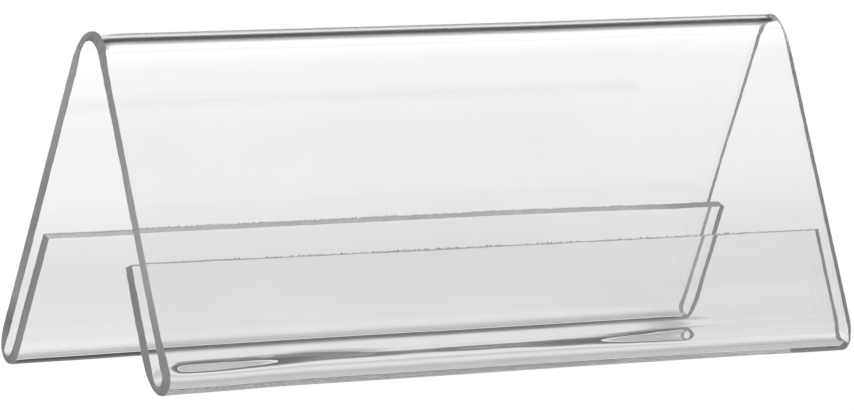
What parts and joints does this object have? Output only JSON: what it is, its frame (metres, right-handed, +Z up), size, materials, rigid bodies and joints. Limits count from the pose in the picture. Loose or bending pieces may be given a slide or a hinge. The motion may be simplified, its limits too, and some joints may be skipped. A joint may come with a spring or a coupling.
{
  "type": "desk name plate",
  "caption": "Roof-shaped desk name plate of bent clear acrylic sheet, with a rounded ridge, sloping panels front and rear, and a card pocket turned up inside each foot.",
  "frame": {"origin": "on the table, under the middle of the ridge: the centre of the bounding box in X and Y, at its lowest Z", "axes": "+X along the ridge, -Y towards the front panel, +Z up"},
  "size_m": [0.15, 0.0528, 0.0596],
  "materials": {
    "clear_acrylic": "clear, polished faces, saw-cut matte edges"
  },
  "bodies": {
    "root": {"front_ridge_bend": "clear_acrylic", "front_panel": "clear_acrylic", "front_foot_outer_bend": "clear_acrylic", "front_foot_inner_bend": "clear_acrylic", "front_card_flap": "clear_acrylic", "rear_ridge_bend": "clear_acrylic", "rear_panel": "clear_acrylic", "rear_foot_outer_bend": "clear_acrylic", "rear_foot_inner_bend": "clear_acrylic", "rear_card_flap": "clear_acrylic"}
  },
  "joints": []
}
